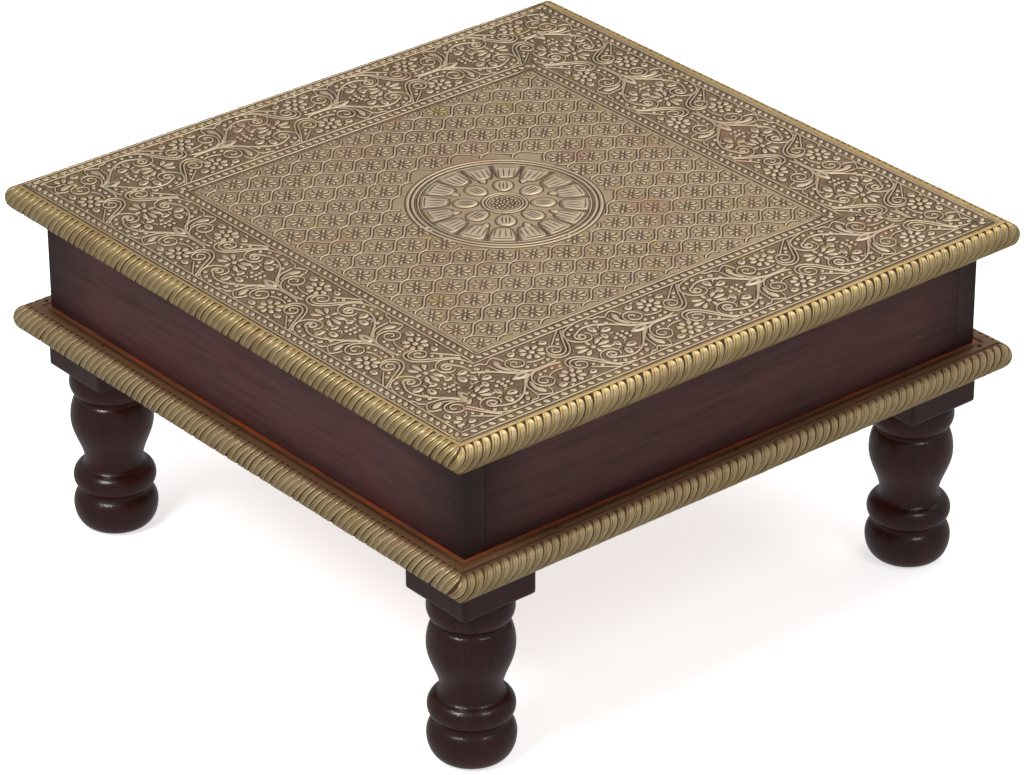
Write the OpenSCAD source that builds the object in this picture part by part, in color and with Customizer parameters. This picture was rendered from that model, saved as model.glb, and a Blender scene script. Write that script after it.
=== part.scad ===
// Low square ceremonial table: a dark stained wooden box on four turned legs,
// with an embossed brass sheet on the top and gadrooned brass strips on both slab edges.
// Millimetres, +Z up, origin on the floor under the middle of the table.

/* [Overall] */
// Width and depth over the brass edge of the top
top_w = 382; // [302:5:462]
// Width and depth over the brass edge of the base
base_w = 381; // [301:5:461]
// Width and depth over the faces of the apron box
box_w = 350; // [270:4:430]
// Radius of the slab corners, seen from above
corner_r = 5; // [2:0.5:8]

/* [Boards] */
// Thickness of the top board
top_t = 13.5; // [10:0.5:16]
// Thickness of the base board
base_t = 15; // [12:0.5:18]
// Height of the apron boards
apron_h = 58; // [40:1:90]
// Thickness of the apron boards
apron_t = 13.5; // [10:0.5:18]

/* [Brass] */
// Thickness of the brass sheet and strips
brass_t = 0.5; // [0.4:0.1:0.8]
// Width and depth of the embossed sheet on the top
sheet_w = 364; // [284:2:444]
// Width of the flange that the top strips turn under the top board
top_flange = 14; // [12:0.5:15]
// Width of the flange that the base strips turn under the base board
base_flange = 12; // [11:0.5:13]

/* [Legs] */
// Height from the floor to the underside of the base board
leg_h = 116; // [114:0.5:150]
// Side of the square head of a leg
head_w = 47; // [46:0.5:52]
// Height of the square head of a leg
head_h = 20.5; // [18:0.5:30]
// Distance that the heads stand out past the box
head_proud = 2; // [0:0.5:3]

/* [Fasteners] */
// Diameter of the wood screws
screw_d = 4.2; // [3.5:0.1:5]
// Length of the wood screws that hold the legs
leg_screw_l = 40; // [30:1:45]
// Length of the wood screws that hold the box on the base
box_screw_l = 35; // [28:1:40]
// Diameter of the nails
nail_d = 2; // [1.6:0.1:2.4]
// Length of the nails
nail_l = 38; // [30:1:40]
// Diameter of the shank of a brass pin
pin_d = 1.2; // [1:0.1:1.5]

/* [Hidden] */
$fn = 64;

// Levels, from the floor up
base_z = leg_h;
apron_z = base_z + base_t;
top_z = apron_z + apron_h;
sheet_z = top_z + top_t;

// Half sizes, from the middle of the table
top_half = top_w / 2;
base_half = base_w / 2;
box_half = box_w / 2;
sheet_half = sheet_w / 2;
leg_axis = box_half + head_proud - head_w / 2;

// Fits and small sizes of the fasteners
hole_gap = 0.05;
screw_head_d = 2 * screw_d;
screw_head_h = screw_d / 2;
screw_tip_h = 1.5 * screw_d;
nail_head_d = 2 * nail_d;
nail_head_h = 0.8;
nail_tip_h = 2 * nail_d;
pin_head_d = 2.6;
pin_head_h = 0.9;
pin_l = 9;
pin_tip_h = 2;

// Places of the fasteners
leg_screw_step = 9;
nail_rise = [14, 44];
top_nail_x = [-110, 0, 110];
box_screw_x = [-75, 75];
pin_x = [-120, 0, 120, 174];
top_pin_inset = 12.5;
base_pin_inset = 9.5;

wood_colour = [0.20, 0.09, 0.07];
brass_colour = [0.72, 0.60, 0.36];
steel_colour = [0.55, 0.55, 0.56];

// Points of an elliptical arc in the leg outline, as radius and height
function arc(r, z, a, b, from, to, steps) = [
    for (i = [0 : steps])
        let (t = from + (to - from) * i / steps)
            [r + a * cos(t), z + b * sin(t)]
];

// Points of the swelling between the neck and the widest place of the vase
function swell(z0, r0, z1, r1, steps) = [
    for (i = [1 : steps - 1])
        let (s = i / steps)
            [r0 + (r1 - r0) * (1 - cos(180 * s)) / 2, z0 + (z1 - z0) * s]
];

// The turned part of a leg, from the foot up to the square head
turned_h = leg_h - head_h;
leg_outline = concat(
    [[0, 0]],
    arc(15, 13, 8.2, 13, -90, 0, 10),
    arc(15, 13, 8.2, 9.8, 8, 52, 5),
    [[19.4, 21.8], [19.4, 22.8]],
    arc(16.7, 29.7, 6, 6.9, -62, 78, 12),
    [[16.7, 37.8], [16, 39.5]],
    swell(39.5, 16, 66, 22.8, 10),
    arc(16.8, 66, 6, 14.5, 0, 60, 7),
    [[19.3, 79], [19.3, 79.9]],
    arc(14.6, 88, 8, 9, -60, 20, 7),
    [[21.6, turned_h], [0, turned_h]]
);

// Turns a child made for the front side to side n: 0 front, 1 right, 2 back, 3 left
module side(n) {
    rotate([0, 0, 90 * n]) children();
}

// A board from z = 0 up, whose edges are half round and meet in mitres at the corners
module slab(half, thickness, corner) {
    intersection() {
        mitred_bars(half, thickness);
        linear_extrude(thickness) rounded_square(half, corner);
    }
}

// The part that two half round bars, one along X and one along Y, have in common
module mitred_bars(half, thickness) {
    intersection() {
        round_bar(half, thickness);
        rotate([0, 0, 90]) round_bar(half, thickness);
    }
}

// A bar along X, as wide as the board, with half round long edges
module round_bar(half, thickness) {
    edge = thickness / 2;
    translate([-half, 0, edge]) rotate([90, 0, 90]) linear_extrude(2 * half) union() {
        square([2 * (half - edge), thickness], center = true);
        for (s = [-1, 1]) translate([s * (half - edge), 0]) circle(edge);
    }
}

// A square with rounded corners
module rounded_square(half, corner) {
    square([2 * half, 2 * (half - corner)], center = true);
    square([2 * (half - corner), 2 * half], center = true);
    for (x = [-1, 1], y = [-1, 1])
        translate([x * (half - corner), y * (half - corner)]) circle(corner);
}

// The front strip round a board that starts at z = 0, cut at 45 degrees at both ends.
// Its flanges reach inward to the given distances from the middle of the table
module edge_strip(half, thickness, upper_reach, lower_reach) {
    difference() {
        intersection() {
            translate([0, 0, -brass_t]) slab(half, thickness + 2 * brass_t, corner_r);
            translate([0, 0, -brass_t]) linear_extrude(thickness + 2 * brass_t)
                polygon([[0, 0], [half, -half], [-half, -half]]);
        }
        slab(half - brass_t, thickness, corner_r - brass_t);
        opening(upper_reach, thickness / 2, thickness + 2 * brass_t);
        opening(lower_reach, -2 * brass_t, thickness / 2);
    }
}

// The square opening inside the flanges, between two heights
module opening(reach, from, to) {
    translate([-reach, -reach, from]) cube([2 * reach, 2 * reach, to - from]);
}

// A countersunk wood screw whose head is flush with z = 0, pointing down
module screw(length, gap) {
    translate([0, 0, -screw_head_h])
        cylinder(h = screw_head_h, d1 = screw_d + 2 * gap, d2 = screw_head_d + 2 * gap);
    translate([0, 0, -(length - screw_tip_h)])
        cylinder(h = length - screw_tip_h - screw_head_h, d = screw_d + 2 * gap);
    translate([0, 0, -length])
        cylinder(h = screw_tip_h, d1 = 0.8, d2 = screw_d + 2 * gap);
}

// A flat headed nail whose head is flush with z = 0, pointing down
module nail(gap) {
    translate([0, 0, -nail_head_h]) cylinder(h = nail_head_h, d = nail_head_d + 2 * gap);
    translate([0, 0, -(nail_l - nail_tip_h)])
        cylinder(h = nail_l - nail_tip_h - nail_head_h, d = nail_d + 2 * gap);
    translate([0, 0, -nail_l]) cylinder(h = nail_tip_h, d1 = 0.4, d2 = nail_d + 2 * gap);
}

// The shank of a brass pin below z = 0, pointing down
module pin_shank(gap) {
    translate([0, 0, -(pin_l - pin_tip_h)])
        cylinder(h = pin_l - pin_tip_h, d = pin_d + 2 * gap);
    translate([0, 0, -pin_l]) cylinder(h = pin_tip_h, d1 = 0.3, d2 = pin_d + 2 * gap);
}

// A domed brass pin whose head sits on z = 0
module pin() {
    dome_r = (pin_head_d * pin_head_d / 4 + pin_head_h * pin_head_h) / (2 * pin_head_h);
    rotate_extrude() intersection() {
        translate([0, pin_head_h - dome_r]) circle(dome_r);
        square([pin_head_d, pin_head_h]);
    }
    pin_shank(0);
}

// Places a pin along every side, the given distance in from the slab edge, up or down
module at_pins(half, inset, z, up) {
    for (n = [0 : 3], x = pin_x) side(n)
        translate([x, -(half - inset), z]) rotate([up ? 0 : 180, 0, 0]) children();
}

// Places the screws that go down through the base into one leg head
module at_leg_screws(n) {
    side(n) for (s = [-1, 1])
        translate([leg_axis + s * leg_screw_step, -leg_axis + s * leg_screw_step, apron_z])
            children();
}

// Places the screws that go up through the base into the apron boards
module at_box_screws() {
    for (n = [0 : 3], x = box_screw_x) side(n)
        translate([x, -(box_half - apron_t / 2), base_z]) rotate([180, 0, 0]) children();
}

// Places the nails that go down through the top board into the apron boards
module at_top_nails() {
    for (n = [0 : 3], x = top_nail_x) side(n)
        translate([x, -(box_half - apron_t / 2), sheet_z]) children();
}

// Places the nails that go through the front and back boards into the side boards
module at_apron_nails() {
    for (n = [0, 2], s = [-1, 1], rise = nail_rise) side(n)
        translate([s * (box_half - apron_t / 2), -box_half, apron_z + rise])
            rotate([90, 0, 0]) children();
}

module top_board() {
    color(wood_colour) difference() {
        translate([0, 0, top_z]) slab(top_half - brass_t, top_t, corner_r - brass_t);
        at_top_nails() nail(hole_gap);
        at_pins(top_half, top_pin_inset, top_z - brass_t, false) pin_shank(hole_gap);
    }
}

module top_sheet() {
    color(brass_colour) translate([-sheet_half, -sheet_half, sheet_z])
        cube([sheet_w, sheet_w, brass_t]);
}

module top_strip(n) {
    color(brass_colour) difference() {
        side(n) translate([0, 0, top_z])
            edge_strip(top_half, top_t, sheet_half, top_half - top_flange);
        at_pins(top_half, top_pin_inset, top_z - brass_t, false) pin_shank(hole_gap);
    }
}

module top_strip_pins() {
    color(brass_colour) at_pins(top_half, top_pin_inset, top_z - brass_t, false) pin();
}

// The front and back boards run the full width of the box
module apron_long(n) {
    color(wood_colour) difference() {
        side(n) translate([-box_half, -box_half, apron_z]) cube([box_w, apron_t, apron_h]);
        apron_holes();
    }
}

// The side boards fit between the front and back boards
module apron_short(n) {
    length = box_w - 2 * apron_t;
    color(wood_colour) difference() {
        side(n) translate([-length / 2, -box_half, apron_z]) cube([length, apron_t, apron_h]);
        apron_holes();
    }
}

module apron_holes() {
    at_apron_nails() nail(hole_gap);
    at_top_nails() nail(hole_gap);
    at_box_screws() screw(box_screw_l, hole_gap);
}

module apron_nails() {
    color(steel_colour) at_apron_nails() nail(0);
}

module top_nails() {
    color(steel_colour) at_top_nails() nail(0);
}

module base_board() {
    color(wood_colour) difference() {
        translate([0, 0, base_z]) slab(base_half - brass_t, base_t, corner_r - brass_t);
        at_box_screws() screw(box_screw_l, hole_gap);
        for (n = [0 : 3]) at_leg_screws(n) screw(leg_screw_l, hole_gap);
        at_pins(base_half, base_pin_inset, apron_z + brass_t, true) pin_shank(hole_gap);
    }
}

module base_strip(n) {
    color(brass_colour) difference() {
        side(n) translate([0, 0, base_z])
            edge_strip(base_half, base_t, box_half, base_half - base_flange);
        at_pins(base_half, base_pin_inset, apron_z + brass_t, true) pin_shank(hole_gap);
    }
}

module base_strip_pins() {
    color(brass_colour) at_pins(base_half, base_pin_inset, apron_z + brass_t, true) pin();
}

module box_screws() {
    color(steel_colour) at_box_screws() screw(box_screw_l, 0);
}

// One leg, turned from a square blank whose head is left square
module leg(n) {
    color(wood_colour) difference() {
        side(n) translate([leg_axis, -leg_axis, 0]) {
            rotate_extrude() polygon(leg_outline);
            translate([-head_w / 2, -head_w / 2, turned_h]) cube([head_w, head_w, head_h]);
        }
        at_leg_screws(n) screw(leg_screw_l, hole_gap);
    }
}

module leg_screws() {
    color(steel_colour) for (n = [0 : 3]) at_leg_screws(n) screw(leg_screw_l, 0);
}

top_board();
top_sheet();
top_strip(0);  // top_strip_front
top_strip(1);  // top_strip_right
top_strip(2);  // top_strip_back
top_strip(3);  // top_strip_left
top_strip_pins();
apron_long(0);  // apron_front
apron_short(1);  // apron_right
apron_long(2);  // apron_back
apron_short(3);  // apron_left
apron_nails();
top_nails();
base_board();
base_strip(0);  // base_strip_front
base_strip(1);  // base_strip_right
base_strip(2);  // base_strip_back
base_strip(3);  // base_strip_left
base_strip_pins();
box_screws();
leg(0);  // leg_front_right
leg(1);  // leg_back_right
leg(2);  // leg_back_left
leg(3);  // leg_front_left
leg_screws();
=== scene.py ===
"""A low square table of dark stained wood, with an embossed brass top and gadrooned brass edges."""

import math
from functools import partial

import bmesh
import bpy
from bpy.props import FloatProperty, FloatVectorProperty, IntProperty, PointerProperty
from mathutils import Matrix, Vector


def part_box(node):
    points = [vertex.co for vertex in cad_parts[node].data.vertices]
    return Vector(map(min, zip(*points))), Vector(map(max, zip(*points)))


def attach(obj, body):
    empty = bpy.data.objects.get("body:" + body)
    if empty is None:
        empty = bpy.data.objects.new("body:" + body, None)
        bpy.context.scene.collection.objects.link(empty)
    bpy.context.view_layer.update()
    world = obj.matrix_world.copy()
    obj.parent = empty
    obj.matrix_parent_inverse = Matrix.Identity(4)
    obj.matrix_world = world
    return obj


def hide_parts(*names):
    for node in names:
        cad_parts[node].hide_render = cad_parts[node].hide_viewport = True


bl_info = {
    "name": "Embossed brass table",
    "version": (1, 0, 0),
    "blender": (4, 5, 0),
    "location": "View3D > Sidebar > Brass table",
    "description": "Builds the pieces of a low table with an embossed brass top",
    "category": "Object",
}

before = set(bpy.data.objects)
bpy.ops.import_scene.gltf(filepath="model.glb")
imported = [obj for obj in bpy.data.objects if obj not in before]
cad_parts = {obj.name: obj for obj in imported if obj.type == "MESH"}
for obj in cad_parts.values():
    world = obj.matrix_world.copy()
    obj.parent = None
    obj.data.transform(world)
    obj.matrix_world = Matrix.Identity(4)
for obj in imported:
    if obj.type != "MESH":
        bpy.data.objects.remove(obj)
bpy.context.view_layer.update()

MM = 0.001
SIDES = ("front", "right", "back", "left")


def corner_mm(node, high):
    """The lowest or highest corner of a CAD node, in millimetres."""
    return [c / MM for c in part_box(node)[high]]


# Sizes taken from the frame, in millimetres
SHEET_TOP = corner_mm("top_sheet", 1)[2]
SHEET_HALF = corner_mm("top_sheet", 1)[0]
TOP_HALF = -corner_mm("top_strip_front", 0)[1]
TOP_EDGE = (SHEET_TOP - corner_mm("top_strip_front", 0)[2]) / 2
BASE_HALF = -corner_mm("base_strip_front", 0)[1]
BASE_TOP = corner_mm("base_strip_front", 1)[2]
BASE_EDGE = (BASE_TOP - corner_mm("base_strip_front", 0)[2]) / 2
BOX_HALF = corner_mm("apron_front", 1)[0]
LEG_HIGH = corner_mm("leg_front_right", 1)
LEG_LOW = corner_mm("leg_front_right", 0)


def srgb(code):
    """Turns an sRGB hex code into linear red, green and blue."""
    parts = [int(code[i : i + 2], 16) / 255 for i in (0, 2, 4)]
    return [c / 12.92 if c <= 0.04045 else ((c + 0.055) / 1.055) ** 2.4 for c in parts]


def length_prop(name, text, default, low, high):
    """A length in millimetres that a user may change."""
    return FloatProperty(name=name, description=text, default=default, min=low, max=high)


def colour_prop(name, text, code):
    """A colour that a user may change."""
    return FloatVectorProperty(
        name=name, description=text, default=srgb(code), size=3, min=0, max=1, subtype="COLOR"
    )


class BrassTableReliefSizes(bpy.types.PropertyGroup):
    """Sizes of the embossed pattern, in millimetres."""

    line_width: length_prop("Line width", "Width of a raised line", 1.55, 0.4, 3)
    height: length_prop("Height", "Height of the relief above the sheet", 0.5, 0.1, 1.5)
    # the dark outline is a flat band painted dark round each raised shape: patina and painted shade where a
    # recess would be
    patina_and_shade_band: length_prop("Dark outline", "Width of the dark recess round a raised shape", 0.95, 0, 2)
    outer_rope_pitch: length_prop("Outer rope pitch", "Spacing of the outer rope's beads", 5.7, 3, 12)
    front_rope_pitch: length_prop("Front rope pitch", "Outer rope's bead spacing, front and back", 4.8, 3, 12)
    inner_rope_pitch: length_prop("Inner rope pitch", "Spacing of the inner rope's beads", 4.6, 3, 12)
    lattice_pitch: length_prop("Lattice pitch", "Width of a cell of the lattice", 19.17, 8, 40)
    lattice_row: length_prop("Lattice row", "Height of a row of the lattice", 13.92, 6, 30)
    lattice_half: length_prop("Lattice half width", "Reach of the lattice from the middle", 115, 50, 150)
    medallion_radius: length_prop("Medallion radius", "Outer radius of the medallion", 52.5, 20, 90)
    scroll_pitch: length_prop("Scroll pitch", "Spacing of the repeats of the border", 77.2, 40, 120)


class BrassTableEdgeSizes(bpy.types.PropertyGroup):
    """Sizes of the gadrooned strips, in millimetres."""

    near_pitch: length_prop("Front rib pitch", "Spacing of ribs on the front and back", 4.6, 2, 12)
    side_pitch: length_prop("Side rib pitch", "Spacing of ribs on the left and right", 5.4, 2, 12)
    rib_height: length_prop("Rib height", "Height of a rib above its strip", 0.45, 0.1, 2)
    seed: IntProperty(name="Seed", description="Picks the unevenness of the hand work", default=7)


class BrassTableColours(bpy.types.PropertyGroup):
    """Colours of the finishes."""

    brass_bright: colour_prop("Rubbed brass", "Brass on the high places", "E7D5BA")
    brass_field: colour_prop("Brass field", "Brass on the flat ground", "BCA688")
    # the blackened colour also fills the flat bands round raised shapes, as patina and painted shade
    brass_dark: colour_prop("Blackened brass", "Patina in the recesses", "412B13")
    strip_bright: colour_prop("Strip highlights", "Brass on top of the ribs", "F6E3B6")
    strip_field: colour_prop("Strip brass", "Brass on the sides of the ribs", "B8975C")
    strip_dark: colour_prop("Strip patina", "Patina between the ribs", "4C381C")
    lower_field: colour_prop("Lower strip brass", "Browner brass of the lower strip", "A98752")
    polish: colour_prop("Polish on brass", "Wood polish smeared on the lower flange", "6A432A")
    box_stain: colour_prop("Box stain", "Stained boards of the box", "432625")
    leg_lacquer: colour_prop("Leg lacquer", "Lacquer of the turned legs", "280F0D")
    raw_wood: colour_prop("Under face", "Thinly stained wood underneath", "4B2E24")
    steel: colour_prop("Steel", "Nails and screws", "8C8C8E")


# Meshes


def new_mesh(name, verts, faces, tone=None, smooth=True):
    """A mesh from points in millimetres. tone is 0 in a recess and in the flat bands painted dark round raised
    shapes as patina and painted shade, and 1 on a rubbed high place.
    """
    mesh = bpy.data.meshes.new(name)
    mesh.from_pydata([tuple(c * MM for c in v) for v in verts], [], faces)
    if tone is not None:
        mesh.attributes.new("tone", "FLOAT", "POINT").data.foreach_set("value", tone)
    if smooth:
        mesh.polygons.foreach_set("use_smooth", [True] * len(mesh.polygons))
    mesh.update()
    return mesh


def piece(name, mesh, material, slot, *nodes):
    """Puts a finished mesh in the scene on the one body, in place of CAD nodes if any are named."""
    mesh.materials.clear()
    mesh.materials.append(material)
    obj = bpy.data.objects.new(name, mesh)
    bpy.context.collection.objects.link(obj)
    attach(obj, "root")
    if nodes:
        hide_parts(*nodes)
    return obj


def polar(radius, degrees, x=0.0, y=0.0):
    """The point at a distance and direction from x, y."""
    a = math.radians(degrees)
    return x + radius * math.cos(a), y + radius * math.sin(a)


def smooth_path(points, step=1.0):
    """A Catmull-Rom curve through points, sampled about every step."""
    if len(points) < 3:
        return list(points)
    ends = [points[0], *points, points[-1]]
    out = []
    for a, b, c, d in zip(ends, ends[1:], ends[2:], ends[3:]):
        n = max(1, round(math.dist(b, c) / step))
        for i in range(n):
            t = i / n
            out.append(
                tuple(
                    0.5 * (2 * q + (r - p) * t + (2 * p - 5 * q + 4 * r - s) * t * t
                           + (3 * q - p - 3 * r + s) * t**3)
                    for p, q, r, s in zip(a, b, c, d)
                )
            )
    return [*out, points[-1]]


def curl(start, centre, turns, inner=0.7, step=1.1):
    """Points of a spiral from start in to radius inner round centre. Negative turns go clockwise."""
    dx, dy = start[0] - centre[0], start[1] - centre[1]
    r0, a0 = math.hypot(dx, dy), math.atan2(dy, dx)
    n = max(8, round(abs(turns) * math.pi * (r0 + inner) / step))
    return [
        (centre[0] + r * math.cos(a), centre[1] + r * math.sin(a))
        for i in range(1, n + 1)
        for r, a in [(r0 + (inner - r0) * i / n, a0 + 2 * math.pi * turns * i / n)]
    ]


class Relief:
    """Collects raised shapes on a flat ground, in millimetres above the sheet."""

    def __init__(self, sizes):
        self.verts, self.faces, self.tone = [], [], []
        self.line, self.height, self.patina_and_shade_band = sizes.line_width, sizes.height, sizes.patina_and_shade_band

    def ridge(self, path, width=None, height=None, patina_and_shade_band=None):
        """A low rounded line along a path, with a flat band painted dark on both sides, patina and painted shade
        standing in for a recess.
        """
        w = (self.line if width is None else width) / 2
        h = self.height if height is None else height
        s = self.patina_and_shade_band if patina_and_shade_band is None else patina_and_shade_band
        closed = math.dist(path[0], path[-1]) < 1e-6
        path = path[:-1] if closed else path
        n, first = len(path), len(self.verts)
        for i, (x, y) in enumerate(path):
            a, b = path[i - 1 if i or closed else 0], path[(i + 1) % n if i < n - 1 or closed else i]
            dx, dy = b[0] - a[0], b[1] - a[1]
            size = math.hypot(dx, dy) or 1
            nx, ny = -dy / size, dx / size
            end = 0.35 if i in (0, n - 1) and not closed else 1
            top = h * end
            # from the field across a flat band painted dark, patina and painted shade standing in for a recess,
            # up to the crown, then back
            flank = [(w * end + s, 0.010, 0.34), (w * end + 0.4 * s, 0.014, 0.02), (w * end, 0.02, 0.0),
                     (w * end * 0.72, top * 0.88, 0.74)]
            for off, z, tone in (*flank, (0, top, 0.9), *((-off, *rest) for off, *rest in flank[::-1])):
                self.verts.append((x + nx * off, y + ny * off, z))
                self.tone.append(tone)
        for i in range(n if closed else n - 1):
            for j in range(8):
                a, b = first + i * 9 + j, first + (i + 1) % n * 9 + j
                self.faces.append((a, a + 1, b + 1, b))
        if closed:
            return
        for row, turn in ((first, 1), (first + (n - 1) * 9, -1)):
            self.faces.append(tuple(range(row, row + 9))[::-turn])

    def stroke(self, path, width=0.9, lift=0.02):
        """A narrow flat line painted dark along a path, lift millimetres above the sheet: patina and painted
        shade standing in for a chased cut.
        """
        n, first = len(path), len(self.verts)
        for i, (x, y) in enumerate(path):
            a, b = path[max(i - 1, 0)], path[min(i + 1, n - 1)]
            dx, dy = b[0] - a[0], b[1] - a[1]
            size = math.hypot(dx, dy) or 1
            w = width / 2 * (0.4 if i in (0, n - 1) else 1)
            for off, tone in ((w, 0.3), (0, 0.0), (-w, 0.3)):
                self.verts.append((x - dy / size * off, y + dx / size * off, lift))
                self.tone.append(tone)
        for i in range(n - 1):
            for j in range(2):
                a = first + i * 3 + j
                self.faces.append((a, a + 1, a + 4, a + 3))

    def mound(self, outline, height=None, patina_and_shade_band=None, peak=None, crown=0.62):
        """A raised shape inside a closed outline, with a flat band painted dark round it, patina and painted
        shade standing in for a recess.
        """
        h = self.height if height is None else height
        s = self.patina_and_shade_band if patina_and_shade_band is None else patina_and_shade_band
        if sum(a[0] * b[1] - b[0] * a[1] for a, b in zip(outline, outline[1:] + outline[:1])) < 0:
            outline = outline[::-1]
        n, first = len(outline), len(self.verts)
        cx, cy = peak or (sum(p[0] for p in outline) / n, sum(p[1] for p in outline) / n)
        for k in range(6):
            for i, (x, y) in enumerate(outline):
                if k < 2:
                    a, b = outline[i - 1], outline[(i + 1) % n]
                    dx, dy = b[0] - a[0], b[1] - a[1]
                    size = (math.hypot(dx, dy) or 1) / (s if k == 0 else 0.4 * s)
                    point = (x + dy / size, y - dx / size, (0.010, 0.014)[k])
                elif k == 2:
                    point = (x, y, 0.02)
                elif k == 3:
                    point = (cx + (x - cx) * 0.88, cy + (y - cy) * 0.88, h * 0.72)
                else:
                    size = crown if k == 4 else crown * 0.82
                    point = (cx + (x - cx) * size, cy + (y - cy) * size, h * (0.96, 1)[k - 4])
                self.verts.append(point)
                self.tone.append((0.34, 0.02, 0.0, 0.7, 0.84, 0.84)[k])
        self.verts.append((cx, cy, h))
        self.tone.append(0.84)
        for k in range(5):
            for i in range(n):
                a, b = first + k * n + i, first + k * n + (i + 1) % n
                self.faces.append((a, b, b + n, a + n))
        top = first + 5 * n
        self.faces += [(top + i, top + (i + 1) % n, top + n) for i in range(n)]

    def dot(self, x, y, radius, height=None, sides=8):
        """A round bead."""
        self.mound([polar(radius, 360 * i / sides, x, y) for i in range(sides)], height)

    def drop(self, x, y, angle, length, width, height=None, blunt=0.62, sides=12):
        """A petal whose pointed end is at x, y and which runs outward at the angle, in degrees."""
        c, s = polar(1, angle)
        outline = []
        for i in range(sides):
            t = 2 * math.pi * i / sides
            along = length * (1 - math.cos(t)) / 2
            across = width / 2 * math.sin(t) * (along / length) ** (1 - blunt) * 1.15
            outline.append((x + c * along - s * across, y + s * along + c * across))
        self.mound(outline, height)

    def flower(self, x, y, radius, wide=0.5, start=0.0, eye=0.16, petals=8):
        """A ring of petals round a bead."""
        r = radius * (eye + 0.08)
        for i in range(petals):
            a = start + 360 * i / petals
            self.drop(*polar(r, a, x, y), a, radius - r, radius * wide, sides=10)
        self.dot(x, y, radius * eye, sides=7)

    def loop(self, x, y, angle, length, width):
        """A petal with a line painted dark along its middle, patina and painted shade standing in for a slot."""
        self.drop(x, y, angle, length, width, blunt=0.75)
        self.stroke([polar(length * t, angle, x, y) for t in (0.35, 0.55, 0.75)], width * 0.3,
                    self.height + 0.02)

    def mesh(self, name, z=0.0):
        """The collected shapes as a mesh, lifted by z."""
        return new_mesh(name, [(x, y, h + z) for x, y, h in self.verts], self.faces, self.tone)


# Nodes

MATH, MAP, MIX, RAMP = "ShaderNodeMath", "ShaderNodeMapRange", "ShaderNodeMix", "ShaderNodeValToRGB"
NOISE, VECTOR, BUMP = "ShaderNodeTexNoise", "ShaderNodeCombineXYZ", "ShaderNodeBump"


def fill(tree, node, inputs):
    """Sets or links a node's inputs, by place or name. A node stands for its first output."""
    for key, value in inputs.items() if isinstance(inputs, dict) else enumerate(inputs):
        if isinstance(value, bpy.types.Node):
            value = value.outputs[0]
        if isinstance(value, bpy.types.NodeSocket):
            tree.links.new(value, node.inputs[key])
        elif node.inputs[key].type == "RGBA":
            node.inputs[key].default_value = (*value[:3], 1)
        else:
            node.inputs[key].default_value = value


def add_node(tree, kind, inputs=(), stops=(), **settings):
    """Adds a node with its settings and links. stops are a colour ramp's places and colours."""
    node = tree.nodes.new(kind)
    for key, value in settings.items():
        setattr(node, key, value)
    fill(tree, node, inputs)
    if stops:
        marks = node.color_ramp.elements
        for mark, (place, colour) in zip((marks[0], marks[1]), (stops[0], stops[-1])):
            mark.position, mark.color = place, (*colour, 1)
        for place, colour in stops[1:-1]:
            marks.new(place).color = (*colour, 1)
    return node


def new_tree(name, sockets):
    """A geometry tree with a Shape and the named inputs, its inputs' sockets and its output node."""
    tree = bpy.data.node_groups.new(name, "GeometryNodeTree")
    tree.interface.new_socket("Geometry", in_out="OUTPUT", socket_type="NodeSocketGeometry")
    kinds = {float: "Float", int: "Int", tuple: "Vector"}
    tree.interface.new_socket("Shape", in_out="INPUT", socket_type="NodeSocketObject")
    for label, default in {**sockets, "Uneven size": 0.0, "Seed": 0}.items():
        kind = "NodeSocket" + kinds[type(default)]
        tree.interface.new_socket(label, in_out="INPUT", socket_type=kind).default_value = default
    tree.interface.new_socket("Material", in_out="INPUT", socket_type="NodeSocketMaterial")
    return tree, add_node(tree, "NodeGroupInput").outputs, add_node(tree, "NodeGroupOutput")


def end_tree(tree, given, result, turn=None, **placing):
    """Puts the shape on the points, makes it real, turns the whole if asked, and gives the material."""
    shape = add_node(tree, "GeometryNodeObjectInfo", {"Object": given["Shape"]})
    placed = add_node(tree, "GeometryNodeInstanceOnPoints", {
        "Instance": shape.outputs["Geometry"], **placing})
    real = add_node(tree, "GeometryNodeRealizeInstances", {"Geometry": placed})
    if turn:
        turned = add_node(tree, VECTOR, {"Z": turn})
        real = add_node(tree, "GeometryNodeTransform", {"Geometry": real, "Rotation": turned})
    painted = add_node(tree, "GeometryNodeSetMaterial", {
        "Geometry": real, "Material": given["Material"]})
    tree.links.new(painted.outputs[0], result.inputs[0])
    return tree


def row_tree():
    """Repeats a shape along X at a pitch, uneven by hand, then turns the row to its side."""
    tree, given, result = new_tree("Row of shapes", {
        "Count": 10, "Start": (0, 0, 0), "Pitch": 0.005, "Shift": 0.0, "Lean": 0.0, "Turn": 0.0})
    node = partial(add_node, tree)
    row = node("GeometryNodeMeshLine", {
        "Count": given["Count"], "Start Location": given["Start"],
        "Offset": node(VECTOR, {"X": given["Pitch"]})}, mode="OFFSET")
    small = node(MATH, (1.0, given["Uneven size"]), operation="SUBTRACT")
    large = node(MATH, (1.0, given["Uneven size"]), operation="ADD")
    back = node(MATH, (given["Shift"], -1.0), operation="MULTIPLY")
    stray, wide, high = (
        node("FunctionNodeRandomValue", {2: low, 3: top, "Seed": seed}, data_type="FLOAT").outputs[1]
        for low, top, seed in (
            (back, given["Shift"], given["Seed"]), (small, large, given["Seed"]),
            (small, large, node(MATH, (given["Seed"], 11.0), operation="ADD")))
    )
    moved = node("GeometryNodeSetPosition", {"Geometry": row, "Offset": node(VECTOR, {"X": stray})})
    return end_tree(tree, given, result, given["Turn"], Points=moved,
                    Rotation=node(VECTOR, {"Z": given["Lean"]}), Scale=node(VECTOR, (wide, 1.0, high)))


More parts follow.
